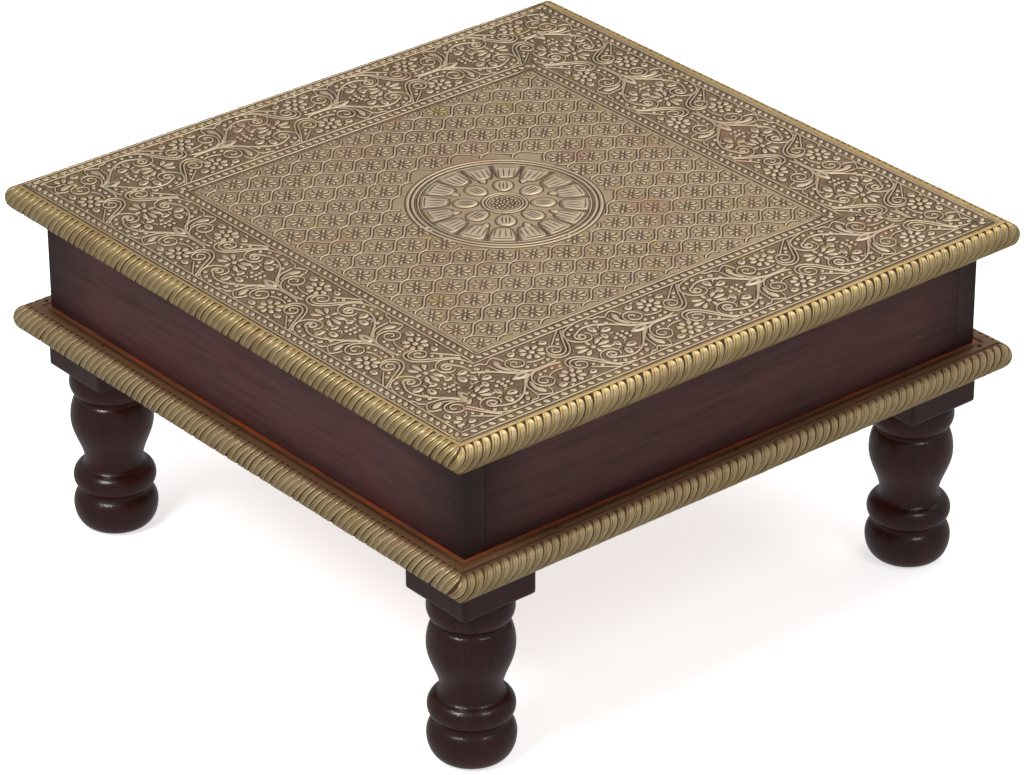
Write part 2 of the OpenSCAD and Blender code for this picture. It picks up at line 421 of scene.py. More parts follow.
def ring_tree():
    """Repeats a shape round the Z axis."""
    tree, given, result = new_tree("Ring of shapes", {"Count": 8, "First angle": 0.0})
    node = partial(add_node, tree)
    points = node("GeometryNodeMeshLine", {"Count": given["Count"], "Offset": (0, 0, 0)}, mode="OFFSET")
    share = node(MATH, (node("GeometryNodeInputIndex"), given["Count"]), operation="DIVIDE")
    angle = node(MATH, (share, 2 * math.pi, given["First angle"]), operation="MULTIPLY_ADD")
    small = node(MATH, (1.0, given["Uneven size"]), operation="SUBTRACT")
    size = node("FunctionNodeRandomValue", {2: small, 3: 1.0, "Seed": given["Seed"]},
                data_type="FLOAT").outputs[1]
    return end_tree(tree, given, result, Points=points, Rotation=node(VECTOR, {"Z": angle}),
                    Scale=node(VECTOR, (size, size, 1.0)))


def cells_tree():
    """Repeats a shape on a staggered grid, leaving a round space in the middle."""
    tree, given, result = new_tree("Staggered cells", {
        "Pitch": 0.0192, "Row": 0.0139, "Half": 0.11, "Space": 0.06, "Columns": 15, "Rows": 17})
    node = partial(add_node, tree)
    size_x, size_y = (
        node(MATH, (node(MATH, (given[count], -1.0), operation="ADD"), given[step]),
             operation="MULTIPLY")
        for count, step in (("Columns", "Pitch"), ("Rows", "Row"))
    )
    grid = node("GeometryNodeMeshGrid", {
        "Size X": size_x, "Size Y": size_y, "Vertices X": given["Columns"], "Vertices Y": given["Rows"]})
    row_of = node(MATH, (node("GeometryNodeInputIndex"), given["Rows"]), operation="MODULO")
    odd = node(MATH, (row_of, 2.0), operation="MODULO")
    half_step = node(MATH, (given["Pitch"], 0.5), operation="MULTIPLY")
    shift = node(MATH, (odd, half_step), operation="MULTIPLY")
    moved = node("GeometryNodeSetPosition", {"Geometry": grid, "Offset": node(VECTOR, {"X": shift})})
    place = node("GeometryNodeInputPosition")
    far = node("ShaderNodeVectorMath", (place,), operation="LENGTH").outputs["Value"]
    outside = node("FunctionNodeCompare", (far, given["Space"]), operation="GREATER_THAN",
                   data_type="FLOAT")
    flat_x = node(MATH, (node("ShaderNodeSeparateXYZ", (place,)),), operation="ABSOLUTE")
    within = node("FunctionNodeCompare", (flat_x, given["Half"]), operation="LESS_THAN",
                  data_type="FLOAT")
    both = node("FunctionNodeBooleanMath", (outside, within), operation="AND")
    small = node(MATH, (1.0, given["Uneven size"]), operation="SUBTRACT")
    size, lean = (
        node("FunctionNodeRandomValue", {2: low, 3: top, "Seed": given["Seed"]},
             data_type="FLOAT").outputs[1]
        for low, top in ((small, 1.0), (-0.06, 0.06))
    )
    return end_tree(tree, given, result, Points=moved, Selection=both,
                    Rotation=node(VECTOR, {"Z": lean}), Scale=node(VECTOR, (size, size, 1.0)))


TREES = {}


def repeat(kind, shape, **values):
    """Runs one of the trees on a shape's mesh and gives the result as a plain mesh."""
    if kind not in TREES:
        TREES[kind] = {"row": row_tree, "ring": ring_tree, "cells": cells_tree}[kind]()
    tree = TREES[kind]
    pattern = bpy.data.objects.new("pattern", shape)
    holder = bpy.data.objects.new("holder", bpy.data.meshes.new("holder"))
    for obj in (pattern, holder):
        bpy.context.collection.objects.link(obj)
    modifier = holder.modifiers.new("Repeat", "NODES")
    modifier.node_group = tree
    ids = {s.name: s.identifier for s in tree.interface.items_tree if s.in_out == "INPUT"}
    modifier[ids["Shape"]] = pattern
    for label, value in values.items():
        modifier[ids[label.replace("_", " ")]] = value
    bpy.context.view_layer.update()
    graph = bpy.context.evaluated_depsgraph_get()
    mesh = bpy.data.meshes.new_from_object(holder.evaluated_get(graph))
    holder.modifiers.remove(modifier)
    for obj in (holder, pattern):
        bpy.data.objects.remove(obj)
    if not len(mesh.vertices):
        raise RuntimeError(f"the {kind} tree made nothing")
    return mesh


def joined(name, meshes, lift=0.0):
    """Several meshes as one, lifted by lift millimetres."""
    work = bmesh.new()
    for mesh in meshes:
        work.from_mesh(mesh)
        bpy.data.meshes.remove(mesh)
    for v in work.verts:
        v.co.z += lift * MM
    mesh = bpy.data.meshes.new(name)
    work.to_mesh(mesh)
    work.free()
    mesh.polygons.foreach_set("use_smooth", [True] * len(mesh.polygons))
    return mesh


def cut(mesh, *planes):
    """Cuts a mesh by planes, each a point in mm and a normal, and drops the side it faces."""
    work = bmesh.new()
    work.from_mesh(mesh)
    for point, normal in planes:
        bmesh.ops.bisect_plane(
            work, geom=work.verts[:] + work.edges[:] + work.faces[:], dist=1e-7,
            plane_co=[c * MM for c in point], plane_no=normal, clear_outer=True)
    work.to_mesh(mesh)
    work.free()
    return mesh


# Materials


def new_material(name):
    """A material with a Principled surface, its tree and its object coordinates."""
    material = bpy.data.materials.new(name)
    material.use_nodes = True
    tree = material.node_tree
    tree.nodes.clear()
    shader = add_node(tree, "ShaderNodeBsdfPrincipled")
    add_node(tree, "ShaderNodeOutputMaterial", {"Surface": shader})
    return material, tree, shader, add_node(tree, "ShaderNodeTexCoord").outputs["Object"]


def clouds(place, size, detail=3.0, roughness=0.55):
    """The inputs of a noise whose features are about size millimetres across."""
    return {"Vector": place, "Scale": 1 / (size * MM), "Detail": detail, "Roughness": roughness}


def off_axis(tree, place, operation):
    """The larger or smaller distance from the table's two upright middle planes, and the height."""
    x, y, z = add_node(tree, "ShaderNodeSeparateXYZ", (place,)).outputs
    flat = [add_node(tree, MATH, (c,), operation="ABSOLUTE") for c in (x, y)]
    return add_node(tree, MATH, flat, operation=operation), z


def brass(name, bright, field, dark, gloss, polish=None):
    """Embossed brass sheet: cold rolled, pressed over a die, blackened, then rubbed back."""
    material, tree, shader, place = new_material(name)
    node = partial(add_node, tree)
    tone = node("ShaderNodeAttribute", attribute_name="tone").outputs["Fac"]
    grime = node(NOISE, clouds(place, 3.2, 5, 0.7))
    # rubbing is uneven, so the tone wanders with two noises
    for pattern, share in ((grime, 0.34), (node(NOISE, clouds(place, 26, 4)), 0.2)):
        stray = node(MATH, (pattern, share, -share / 2), operation="MULTIPLY_ADD")
        tone = node(MATH, (tone, stray), operation="ADD")
    colour = node(RAMP, (tone,), [(0.02, dark), (0.42, field), (0.98, bright)])
    # faint red patches rich in copper, and yellow ones where the patina has worn off
    for size, low, high, share, code in (
        (31, 0.56, 0.72, 0.28, "A8705A"), (17, 0.58, 0.76, 0.3, "B8A040"),
    ):
        patch = node(MAP, (node(NOISE, clouds(place, size)), low, high, 0.0, share))
        colour = node(MIX, {0: patch, 6: colour, 7: srgb(code)}, data_type="RGBA").outputs[2]
    rough = node(MAP, (tone, 0.0, 1.0, 0.66, gloss))
    metal = node(MAP, (tone, 0.0, 0.35, 0.55, 1.0))
    if polish:
        # brown polish dragged along the flange beside the box
        far, height = off_axis(tree, place, "MAXIMUM")
        x, y, _ = node("ShaderNodeSeparateXYZ", (place,)).outputs
        drag = node(VECTOR, (x, y, node(MATH, (far, 14.0), operation="MULTIPLY")))
        streak = node(NOISE, clouds(drag.outputs[0], 26, 5, 0.6))
        reach = node(MATH, (streak, -0.009, far), operation="MULTIPLY_ADD")
        near = node(MAP, (reach, (BOX_HALF + 3) * MM, (BOX_HALF + 14) * MM, 1.0, 0.0))
        upper = node(MAP, (height, (BASE_TOP - 9) * MM, (BASE_TOP - 1) * MM))
        smear = node(MATH, (near, upper), operation="MULTIPLY")
        share = node(MATH, (smear, 0.9), operation="MULTIPLY")
        colour = node(MIX, {0: share, 6: colour, 7: polish}, data_type="RGBA").outputs[2]
        metal = node(MATH, (metal, node(MAP, (smear, 0.0, 1.0, 1.0, 0.1))), operation="MULTIPLY")
        rough = node(MATH, (smear, -0.1, rough), operation="MULTIPLY_ADD")
    # pitting and hammer marks
    pits = node(MATH, (node(NOISE, clouds(place, 1.2)), 0.6, grime), operation="MULTIPLY_ADD")
    fill(tree, shader, {
        "Base Color": colour, "Roughness": rough, "Metallic": metal,
        "Normal": node(BUMP, {"Height": pits, "Strength": 0.35, "Distance": 0.00022})})
    return material


def wood(name, colour, along, gloss, coat=0.0, red=0.5, peel=0.0, corners=False, filler=False,
         shine=0.5):
    """Close grained hardwood under a dark stain. along is the direction of the grain."""
    material, tree, shader, place = new_material(name)
    node = partial(add_node, tree)
    # features are drawn out sixteen times along the grain
    stretch = [0.06 if axis == along else 1 for axis in "XYZ"]
    drawn = node("ShaderNodeMapping", {"Vector": place, "Scale": stretch}).outputs[0]
    grain = node(NOISE, clouds(drawn, 2.2, 6, 0.65))
    bands = node(MAP, (node(NOISE, clouds(drawn, 11)), 0.35, 0.7, 0.0, 0.45))
    patches = node(NOISE, clouds(place, 45))
    dark, light = [c * 0.5 for c in colour], [min(1, c * 1.45) for c in colour]
    warm = [min(1, colour[0] * 1.7), colour[1], colour[2] * 0.95]
    tone = node(RAMP, (grain,), [(0.3, dark), (0.52, colour), (0.75, light)]).outputs[0]
    layers = [(bands, light), (node(MAP, (patches, 0.5, 0.72, 0.0, red)), warm)]
    if corners:
        # painted shade darkening the boards towards the upright corners of the box
        near, _ = off_axis(tree, place, "MINIMUM")
        corner_shade = node(MATH, (patches, 0.03, near), operation="MULTIPLY_ADD")
        layers.append((node(MAP, (corner_shade, 0.145, 0.19, 0.0, 0.8)), [c * 0.22 for c in dark]))
    if filler:
        # red filler left in a thin broken line along the foot of the box
        far, height = off_axis(tree, place, "MAXIMUM")
        ragged = node(MATH, (node(NOISE, clouds(place, 6)), 0.003, far), operation="MULTIPLY_ADD")
        line = node(MAP, (ragged, (BOX_HALF + 2.0) * MM, (BOX_HALF + 3.6) * MM, 1.0, 0.0))
        for part in (node(MAP, (node(NOISE, clouds(place, 34)), 0.4, 0.56, 0.1, 0.85)),
                     node(MAP, (height, (BASE_TOP - 2) * MM, (BASE_TOP - 1) * MM))):
            line = node(MATH, (line, part), operation="MULTIPLY")
        layers.append((line, srgb("A9491D")))
    for share, layer in layers:
        tone = node(MIX, {0: share, 6: tone, 7: layer}, data_type="RGBA").outputs[2]
    fill(tree, shader, {
        "Base Color": tone, "IOR": 1.5, "Specular IOR Level": shine,
        "Roughness": node(MAP, (
            node(NOISE, clouds(place, 20, 4)), 0.3, 0.7, gloss - 0.05, gloss + 0.09)),
        "Coat Weight": coat, "Coat Roughness": 0.07,
        "Normal": node(BUMP, {"Height": grain, "Strength": 0.5, "Distance": 0.00012})})
    if peel:
        # orange peel left by thick brushed lacquer
        fill(tree, shader, {"Coat Normal": node(BUMP, {
            "Height": node(NOISE, clouds(place, 2.4, 2, 0.5)), "Strength": peel, "Distance": 0.0006})})
    return material


def steel(name, colour):
    """Mild steel wire, drawn and left bare, dulled by handling."""
    material, tree, shader, place = new_material(name)
    node = partial(add_node, tree)
    fill(tree, shader, {
        "Base Color": node(RAMP, (node(NOISE, clouds(place, 1.5, 4)),),
                           [(0.35, [c * 0.6 for c in colour]), (0.65, colour)]),
        "Roughness": node(MAP, (node(NOISE, clouds(place, 0.8)), 0.3, 0.7, 0.35, 0.6)),
        "Metallic": 1.0})
    return material


FINISHES = {}


def finish(name):
    """One of the table's materials, made the first time it is asked for."""
    colours = bpy.context.scene.brass_table_colours
    makers = {
        "embossed": lambda: brass("blackened_embossed_brass", colours.brass_bright, colours.brass_field,
                                  colours.brass_dark, 0.46),
        "strip": lambda: brass("gadrooned_brass_strip", colours.strip_bright, colours.strip_field,
                               colours.strip_dark, 0.42),
        "lower_strip": lambda: brass("polish_stained_brass_strip", colours.strip_bright,
                                     colours.lower_field, colours.strip_dark, 0.42,
                                     colours.polish),
        # the box boards carry painted shade towards their upright corners
        "box_x": lambda: wood("stained_hardwood_board_x", colours.box_stain, "X", 0.46, red=0.3, corners=True,
                              shine=0.4),
        "box_y": lambda: wood("stained_hardwood_board_y", colours.box_stain, "Y", 0.46, red=0.3, corners=True,
                              shine=0.3),
        "leg": lambda: wood("lacquered_turned_hardwood", colours.leg_lacquer, "Z", 0.3, 0.35,
                            peel=0.5, shine=0.3),
        "base": lambda: wood("polish_stained_hardwood", colours.polish, "X", 0.45, filler=True),
        "under": lambda: wood("thinly_stained_hardwood", colours.raw_wood, "X", 0.6),
        "steel": lambda: steel("bare_mild_steel", colours.steel),
    }
    if name not in FINISHES:
        FINISHES[name] = makers[name]()
    return FINISHES[name]


def paint(node, material):
    """Gives a carried-over CAD node a material."""
    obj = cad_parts[node]
    if not obj.material_slots:
        obj.data.materials.append(material)
    for slot in obj.material_slots:
        slot.material = material


# The embossed sheet

# the pattern is a little wider than it is deep, and lies to the left and the front
PATTERN_STRETCH, PATTERN_SHIFT = (1.013, 1.005), (-1.7, -1.05)
# the middle of the border's band and its two edges, and where the lattice's first flower lies
BAND_MIDDLE, BAND_INNER, BAND_OUTER = 149.9, 125.8, 174.0
LATTICE_X, LATTICE_Y = -3.4, 1.7


def scroll_unit(sizes):
    """One repeat of the border's scrollwork, along X, with its axis on Y = 0 and 24 mm to each side."""
    r = Relief(sizes)
    for m in (1, -1):

        def at(*points):
            return [(u, m * v) for u, v in points]

        # stem from the double scroll along the axis, past the leaf, round to its own curl
        path = smooth_path(at((49.8, 1.9), (53.1, 0.8), (59.6, 0.5), (66.2, 0.8), (70.2, 2.0), (74.8, 4.1),
                              (78.4, 8), (82.7, 12.6), (87, 15.9), (91.2, 17.8), (95.2, 18.3), (99.1, 17.4),
                              (102.1, 15.6)))
        r.ridge(path + curl(path[-1], (102.3, m * 11.9), -1.45 * m))
        # outer turn of that curl, which swings out to the frame
        r.ridge(smooth_path(at((18.6, 24.4), (23.2, 23.4), (27.8, 21.6), (31, 18.6), (32.5, 15), (31.8, 11),
                               (29.2, 7.7), (25.2, 6.3), (21.6, 7.7), (20.1, 11.2), (21.4, 14.3))), 1.1)
        for u, v in ((28.5, 17.6), (24.2, 20.4), (19.3, 21.6), (14, 20.8), (8.8, 19), (6.1, 14.9)):
            r.dot(u, m * v, 1.4)
        # trefoil inside the curl
        r.ridge(at((20, 9.3), (17.6, 8.8), (15.4, 8.7)), 1.0)
        r.loop(15.9, m * 10.2, m * 84, 7.2, 4.6)
        r.loop(14.6, m * 9.4, 180 - m * 4, 7.2, 5.0)
        r.loop(15.6, m * 8.0, -m * 88, 6.0, 3.8)
        r.ridge(smooth_path(at((12.6, 13.2), (11.4, 15.0), (9.6, 14.6), (8.9, 13.0))), 0.9)
        r.ridge(smooth_path(at((12.2, 6.0), (10.9, 4.6), (9.0, 5.2))), 0.9)
        r.dot(9.3, m * 2.6, 1.3)
        r.dot(5.6, m * 3.0, 1.1)
        r.dot(18.4, m * 4.6, 1.0)
        # curl beside the stem, with beads between it and its inner line
        r.ridge(smooth_path(at((65.9, 0.9), (69.5, 2.9), (72.2, 5.8), (73.6, 9.4), (73.0, 13.6), (70.2, 16.2),
                               (66.6, 16), (63.9, 13), (63.9, 9.7), (66.6, 7.4), (69.4, 7.7), (71.2, 10),
                               (70.5, 12.5), (68.5, 13.3), (67, 12), (68.1, 10.8)), 0.8), 1.15)
        r.ridge(smooth_path(at((63.5, 9), (60.6, 7.4), (56.4, 6.7), (52.3, 7.2))), 1.1)
        for u, v in ((65.9, 4.9), (61.9, 3.8), (57.3, 3.4), (53.1, 4.4)):
            r.dot(u, m * v, 1.3)
        # flower in the side bay between two slotted leaves
        r.flower(54.2, m * 15.4, 7.2, wide=0.5, start=m * 10, eye=0.26)
        r.loop(61.0, m * 20.4, -m * 12, 5.8, 4.6)
        r.loop(46.8, m * 19.8, 180 + m * 14, 5.4, 4.2)
        r.drop(48.4, m * 22.8, 175, 3, 1.6)
        r.drop(58.6, m * 22.6, 10, 3, 1.6)
        # double scroll: three lines from the frame that wrap round a curl
        r.ridge(smooth_path(at((27.4, 23), (30.7, 18.9), (33.3, 13.2), (36.3, 7.6), (39.9, 3.3), (44.2, 1.5),
                               (48.1, 2.6), (50, 6), (49.8, 10))), 1.2)
        r.ridge(smooth_path(at((28.7, 23.6), (33.3, 17), (36.6, 11.4), (39.9, 6.2), (43.8, 3.9), (47.1, 4.9),
                               (48.5, 8), (47.6, 11.9), (44.5, 13.7), (41.4, 11.9), (40.9, 8.8), (43.5, 6.8),
                               (46.0, 7.8), (45.8, 10.2), (43.8, 10.6)), 0.8), 1.15)
        r.ridge(smooth_path(at((30, 24.6), (34, 21.5), (38.6, 17.5), (41.9, 14.8))), 1.1)
        r.dot(39, m * 13.6, 1.2)
        r.dot(36.2, m * 17, 1.3)
        # solid leaf and the lines round it
        r.mound([(u, m * v) for u, v in (
            (75.1, 20.5), (77.4, 17.8), (77.8, 14.3), (76.9, 10), (74.6, 6.2), (73.9, 6.6), (75.2, 10),
            (75.0, 13.8), (73.6, 17), (73.8, 19.6))], peak=(75.9, m * 15.4), crown=0.7)
        r.ridge(smooth_path(at((71.2, 16.6), (71.6, 20), (73.5, 23.0), (77, 21.8), (80, 20), (82.3, 22.3),
                               (85.6, 22.4), (88, 24.4))), 1.1)
        r.ridge(smooth_path(at((80.2, 19.4), (79.6, 15), (78.9, 10.6), (76.2, 6.6), (72.6, 4.2))), 1.0)
        r.drop(84.6, m * 19.4, m * 12, 3.4, 2.4)
    # pieces on the axis: the large flower with its bead, three beads and the slotted bud
    for turn, near, length, width in ((0, 2.3, 8.6, 3.3), (180, 2.3, 8.6, 3.3), (33, 2.9, 6.8, 3.3),
                                      (-33, 2.9, 6.8, 3.3), (147, 2.9, 6.8, 3.3), (-147, 2.9, 6.8, 3.3),
                                      (90, 1.9, 4.6, 2.3), (-90, 1.9, 4.6, 2.3)):
        r.drop(*polar(near, turn, 27.4), turn, length, width)
    r.dot(27.4, 0, 1.7)
    for u in (12.7, 9.1, 5.5):
        r.dot(u, 0, 1.35)
    r.loop(80.4, 0, 180, 11.6, 6.2)
    return r.mesh("scroll unit")


def pattern_piece(name, mesh):
    """Makes a part of the pattern a piece, moved as the pattern lies off the middle of the sheet."""
    for v in mesh.vertices:
        v.co.x = v.co.x * PATTERN_STRETCH[0] + PATTERN_SHIFT[0] * MM
        v.co.y = v.co.y * PATTERN_STRETCH[1] + PATTERN_SHIFT[1] * MM
    piece(name, mesh, finish("embossed"), "brass_sheet")


def square_lines(relief, half, width, steps=24):
    """A raised line round a square."""
    corners = [(-half, -half), (half, -half), (half, half), (-half, half)]
    for a, b in zip(corners, corners[1:] + corners[:1]):
        relief.ridge([(a[0] + (b[0] - a[0]) * i / steps, a[1] + (b[1] - a[1]) * i / steps)
                      for i in range(steps + 1)], width)


class BRASSTABLE_OT_sheet(bpy.types.Operator):
    """Makes the brass sheet with its ground and its framing lines"""

    bl_idname = "brass_table.sheet"
    bl_label = "Brass sheet"

    def execute(self, context):
        sizes = context.scene.brass_table_relief
        low = corner_mm("top_sheet", 0)[2]
        # the ground is darkest under the scrolls and lightest under the lattice
        steps = [(0, 0.42), (60, 0.42), (112, 0.4), (117.6, 0.44), (119.2, 0.16), (124.2, 0.16), (126, 0.2),
                 (150, 0.16), (173, 0.2), (175, 0.14), (179, 0.14), (180.2, 0.46), (SHEET_HALF, 0.56)]
        verts, faces, tone = [(0, 0, SHEET_TOP)], [], [0.5]
        per_side = 16
        for half, level in steps[1:]:
            for k in range(4):
                c, s = [(1, 0), (0, 1), (-1, 0), (0, -1)][k]
                for i in range(per_side):
                    x, y = half, half * (2 * i / per_side - 1)
                    verts.append((x * c - y * s, x * s + y * c, SHEET_TOP))
                    tone.append(level)
        n = 4 * per_side
        faces += [(0, 1 + i, 1 + (i + 1) % n) for i in range(n)]
        for k in range(len(steps) - 2):
            for i in range(n):
                a, b = 1 + k * n + i, 1 + k * n + (i + 1) % n
                faces.append((a, a + n, b + n, b))
        rim = 1 + (len(steps) - 2) * n
        under = len(verts)
        verts += [(x, y, low) for x, y, _ in verts[rim : rim + n]]
        tone += [0.4] * n
        faces += [(rim + i, under + i, under + (i + 1) % n, rim + (i + 1) % n) for i in range(n)]
        faces.append(tuple(range(under + n - 1, under - 1, -1)))
        ground = new_mesh("brass_sheet", verts, faces, tone, smooth=False)
        piece("brass_sheet", ground, finish("embossed"), "brass_sheet", "top_sheet")

        lines = Relief(sizes)
        for half, width in ((180.4, 0.9), (174.2, 1.1), (124.9, 1.1), (118.3, 1.1)):
            square_lines(lines, half, width)
        pattern_piece("frame_lines", lines.mesh("frame_lines", SHEET_TOP))
        return {"FINISHED"}


class BRASSTABLE_OT_ropes(bpy.types.Operator):
    """Makes the rows of slanted beads beside the framing lines"""

    bl_idname = "brass_table.ropes"
    bl_label = "Rope borders"

    def execute(self, context):
        sizes = context.scene.brass_table_relief
        for name, half, pitches, length, width in (
            ("outer_rope", 177.2, (sizes.front_rope_pitch, sizes.outer_rope_pitch), 4.3, 2.7),
            ("inner_rope", 121.6, (sizes.inner_rope_pitch, sizes.inner_rope_pitch), 4.1, 2.5),
        ):
            bead = Relief(sizes)
            bead.mound([(width / 2 * math.cos(t), length / 2 * math.sin(t))
                        for t in (2 * math.pi * i / 10 for i in range(10))], patina_and_shade_band=0.7)
            rows = []
            for k in range(4):
                count = int(2 * half / pitches[k % 2])
                pitch = 2 * half / count
                rows.append(repeat("row", bead.mesh("bead"), Count=count, Pitch=pitch * MM,
                                   Start=(-(half - pitch / 2) * MM, -half * MM, 0), Shift=0.15 * MM,
                                   Uneven_size=0.1, Lean=math.radians(38), Turn=math.pi / 2 * k,
                                   Seed=3 + k))
            pattern_piece(name, joined(name, rows, SHEET_TOP))
        return {"FINISHED"}


class BRASSTABLE_OT_border(bpy.types.Operator):
    """Makes the wide border of scrolls, flowers and leaves"""

    bl_idname = "brass_table.border"
    bl_label = "Scroll border"

    def execute(self, context):
        sizes = context.scene.brass_table_relief
        pitch = sizes.scroll_pitch
        # the first repeat starts at another place on each side
        for side, turn, first in zip(SIDES, (180, -90, 0, 90), (-222.3, -189.8, -222.3, -219.1)):
            unit = scroll_unit(sizes)
            band = repeat("row", unit, Count=6, Pitch=pitch * MM,
                          Start=((first - pitch) * MM, BAND_MIDDLE * MM, 0))
            # a mitre at each end, then the two edges
            cut(band, ((0, 0, 0), (1, -1, 0)), ((0, 0, 0), (-1, -1, 0)),
                ((0, BAND_OUTER, 0), (0, 1, 0)), ((0, BAND_INNER, 0), (0, -1, 0)))
            band.transform(Matrix.Rotation(math.radians(turn), 4, "Z"))
            band.transform(Matrix.Translation((0, 0, SHEET_TOP * MM)))
            name = f"scroll_border_{side}"
            pattern_piece(name, joined(name, [band]))
        return {"FINISHED"}


class BRASSTABLE_OT_lattice(bpy.types.Operator):
    """Makes the wavy lattice with a flower in every cell"""

    bl_idname = "brass_table.lattice"
    bl_label = "Flower lattice"

    def execute(self, context):
        sizes = context.scene.brass_table_relief
        pitch, row, half = sizes.lattice_pitch, sizes.lattice_row, sizes.lattice_half
        gap = sizes.medallion_radius + 0.8
        flower = Relief(sizes)
        flower.height, flower.patina_and_shade_band = 0.36, 0.75
        for a in range(0, 360, 45):
            flower.drop(*polar(1.7, a), a, 4.7, 2.2, blunt=0.45, sides=10)
        flower.dot(0, 0, 0.85, 0.3, sides=6)
        cells = repeat("cells", flower.mesh("cell flower"), Pitch=pitch * MM, Row=row * MM,
                       Half=(half + 3) * MM, Space=(gap + 2) * MM, Columns=15, Rows=17,
                       Uneven_size=0.1, Seed=5)
        cells.transform(Matrix.Translation((LATTICE_X * MM, LATTICE_Y * MM, 0)))
        for axis in ((1, 0, 0), (-1, 0, 0), (0, 1, 0), (0, -1, 0)):
            cut(cells, ([c * half for c in axis], axis))
        pattern_piece("lattice_flowers", joined("lattice_flowers", [cells], SHEET_TOP))

        # wavy lines between the flowers, upright beside each flower and slanting between the rows
        net = Relief(sizes)
        count = int(half / pitch * 2) + 3
        # the space between points along a line, and how many there are
        step = 1.15
        count_y = int(2 * half / step)
        for hand in (-1, 1):
            for k in range(-count, count + 1):
                run = []
                for i in range(count_y + 1):
                    y = -half + step * i
                    rows = (y - LATTICE_Y) / row
                    sway = pitch / 2 * rows - 1.25 * math.sin(2 * math.pi * rows)
                    x = (k + 0.5) * pitch + LATTICE_X + hand * sway
                    inside = abs(x) < half and math.hypot(x, y) > gap
                    if inside:
                        run.append((x, y))
                    if not inside or i == count_y:
                        if len(run) > 3:
                            net.ridge(run, 1.05 - 0.2 * hand, 0.34 - 0.06 * hand, 0.8)
                        run = []
        pattern_piece("lattice_net", net.mesh("lattice_net", SHEET_TOP))
        return {"FINISHED"}


class BRASSTABLE_OT_medallion(bpy.types.Operator):
    """Makes the round flower in the middle of the top"""

    bl_idname = "brass_table.medallion"
    bl_label = "Medallion"

    def execute(self, context):
        sizes = context.scene.brass_table_relief
        outer = sizes.medallion_radius

        rings = Relief(sizes)
        for radius, steps, *shape in (
            (outer - 1.5, 120, 2.0, 0.28, 0.8), (outer - 4.2, 120, 1.7, 0.26, 0.7),
            (outer - 7.0, 110, 0.9, 0.16, 0.9), (11.6, 48, 1.5, 0.3, 0.7), (9.7, 48, 1.2, 0.3, 0.7),
        ):
            rings.ridge([polar(radius, 360 * i / steps) for i in range(steps + 1)], *shape)
        for radius, count in ((6.4, 14), (4.1, 9), (2.0, 5)):
            for i in range(count):
                rings.dot(*polar(radius, 360 * i / count), 0.8, 0.3, sides=6)
        pattern_piece("medallion_rings", rings.mesh("medallion_rings", SHEET_TOP))

        def fan():
            r = Relief(sizes)
            outline = smooth_path([(28.6, 0), (29.2, -3.3), (31.2, -5.1), (36, -6.6), (40.4, -7.6), (43.8, -8.1),
                                   (45.0, -6.8), (45.3, 0), (45.0, 6.8), (43.8, 8.1), (40.4, 7.6), (36, 6.6),
                                   (31.2, 5.1), (29.2, 3.3), (28.6, 0)], 2.5)[:-1]
            r.mound(outline, 0.3, 0.5, peak=(38, 0), crown=0.9)
            for y0, y1 in ((1.3, 1.7), (-1.3, -1.7), (3.7, 4.8), (-3.7, -4.8)):
                r.stroke([(31.4, y0), (36, (y0 + y1) / 2), (40.6, y1)], 0.9, 0.36)
            r.stroke([(42.2, -5.6), (42.5, -2.7), (42.6, 0), (42.5, 2.7), (42.2, 5.6)], 0.8, 0.36)
            return r

        def egg():
            r = Relief(sizes)
            outline = [(20.6 + 7.0 * math.cos(t), (5.6 + 0.7 * math.cos(t)) * math.sin(t))
                       for t in (2 * math.pi * i / 18 for i in range(18))]
            r.mound(outline, 0.34, 0.6, crown=0.86)
            for y in (-2.1, 0, 2.1):
                r.stroke([(16.6, y * 0.8), (20, y), (24.4, y * 0.8)], 1.0, 0.42)
            return r

        def bud():
            r = Relief(sizes)
            r.drop(25.4, 0, 0, 5.2, 4.4, 0.4)
            return r

        for name, maker, count, first in (
            ("medallion_fan", fan, 16, 0.06), ("medallion_eggs", egg, 8, 0.12),
            ("medallion_buds", bud, 8, 0.12 + math.pi / 8),
        ):
            shapes = repeat("ring", maker().mesh("petal"), Count=count, First_angle=first,
                            Uneven_size=0.02, Seed=2)
            pattern_piece(name, joined(name, [shapes], SHEET_TOP))
        return {"FINISHED"}


# Gadrooned strips


# a rib's section: place across its half width, share of its height, and how far it is rubbed
RIB_SECTION = (
    (-1.0, 0.0, 0.0), (-0.93, 0.6, 0.2), (-0.8, 0.9, 0.7), (-0.5, 0.86, 0.66), (-0.38, 0.55, 0.16),
    (-0.26, 0.88, 0.66), (0.05, 0.9, 0.7), (0.45, 0.96, 0.78), (0.74, 1.05, 1.0), (0.93, 0.6, 0.3),
    (1.0, 0.0, 0.0),
)


def rib(length, width, height, lean, twist, steps=22):
    """One rib laid flat: X along the strip, Y from its inner end round the edge, Z its height."""
    verts, faces, tone = [], [], []
    across = len(RIB_SECTION) - 1
    for i in range(steps + 1):
        q = length * i / steps
        end = math.sin(math.pi / 2 * min(1, q / (width * 0.8), (length - q) / (width * 0.5))) ** 0.8
        bend = min(q, 14)
        shift = -lean * q - twist * bend * (2 * q - bend)
        for t, level, shade in RIB_SECTION:
            verts.append((shift + width / 2 * t * (0.45 + 0.55 * end), q, height * end * level))
            tone.append(0.5 + (shade - 0.5) * end)
    for i in range(steps):
        for j in range(across):
            a = i * (across + 1) + j
            faces.append((a, a + 1, a + across + 2, a + across + 1))
    return new_mesh("rib", verts, faces, tone)


# the slabs' corner radius, and the way round it to the diagonal, where two strips meet
CORNER = 7.0
EIGHTH_TURN = CORNER * math.pi / 4


